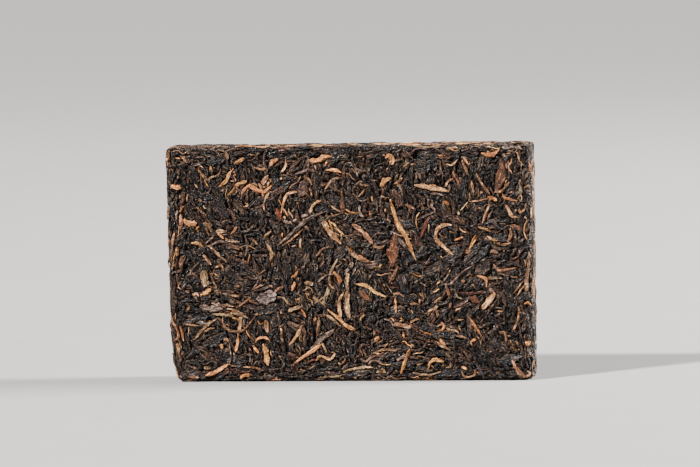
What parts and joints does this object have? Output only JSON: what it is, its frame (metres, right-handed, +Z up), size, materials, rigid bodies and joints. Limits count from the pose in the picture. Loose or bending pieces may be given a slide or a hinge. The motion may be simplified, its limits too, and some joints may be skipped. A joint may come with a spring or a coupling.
{
  "type": "pu erh tea brick",
  "caption": "Flat rectangular brick of dark, tightly pressed tea leaves with golden buds, stood on a long narrow side. Pieces are broken off to brew.",
  "frame": {"origin": "centre of the underside, the long narrow side that the brick stands on", "axes": "+X along the long side to the right as seen from the front, -Y out of the broad front, +Z up"},
  "size_m": [0.1397, 0.0229, 0.0899],
  "materials": {
    "pressed_tea": "dry pressed leaf, near black brown, slightly glossy on the leaf backs",
    "gold_bud": "dry tea bud, tan to golden, finely ribbed along its length",
    "red_flake": "dry leaf flake or stem, red brown, dull"
  },
  "bodies": {
    "root": {"tea_brick": "pressed_tea"}
  },
  "joints": []
}
